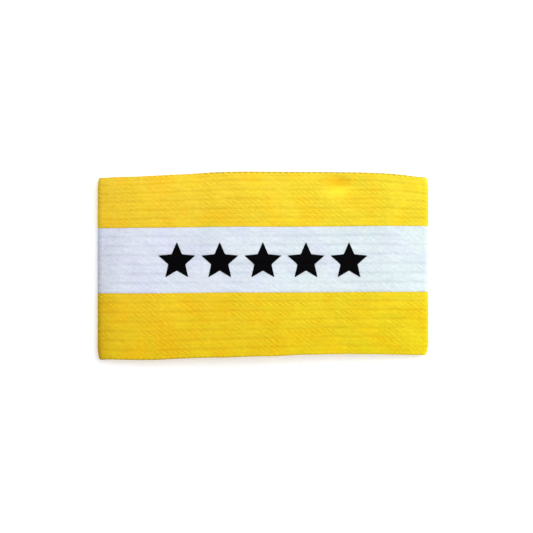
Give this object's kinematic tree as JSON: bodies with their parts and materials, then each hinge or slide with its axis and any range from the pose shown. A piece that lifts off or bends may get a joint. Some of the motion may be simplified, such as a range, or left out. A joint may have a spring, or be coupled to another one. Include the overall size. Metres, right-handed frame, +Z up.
{
  "type": "captain armband",
  "caption": "Closed loop of broad ribbed elastic worn on the upper arm, lying flat, with a white stripe between yellow ones and a row of black film stars.",
  "frame": {"origin": "middle of the base, on the surface that the back layer lies on", "axes": "+X along the band to the right of its front, +Y across the band to its upper rim, +Z up out of the front"},
  "size_m": [0.1636, 0.0928, 0.0117],
  "materials": {
    "yellow_elastic": "matte ribbed elastic webbing",
    "white_elastic": "matte ribbed elastic webbing",
    "black_film": "matte heat-pressed film"
  },
  "bodies": {
    "root": {"lower_stripe": "yellow_elastic", "middle_stripe": "white_elastic", "upper_stripe": "yellow_elastic", "print_star_1": "black_film", "print_star_2": "black_film", "print_star_3": "black_film", "print_star_4": "black_film", "print_star_5": "black_film"}
  },
  "joints": []
}
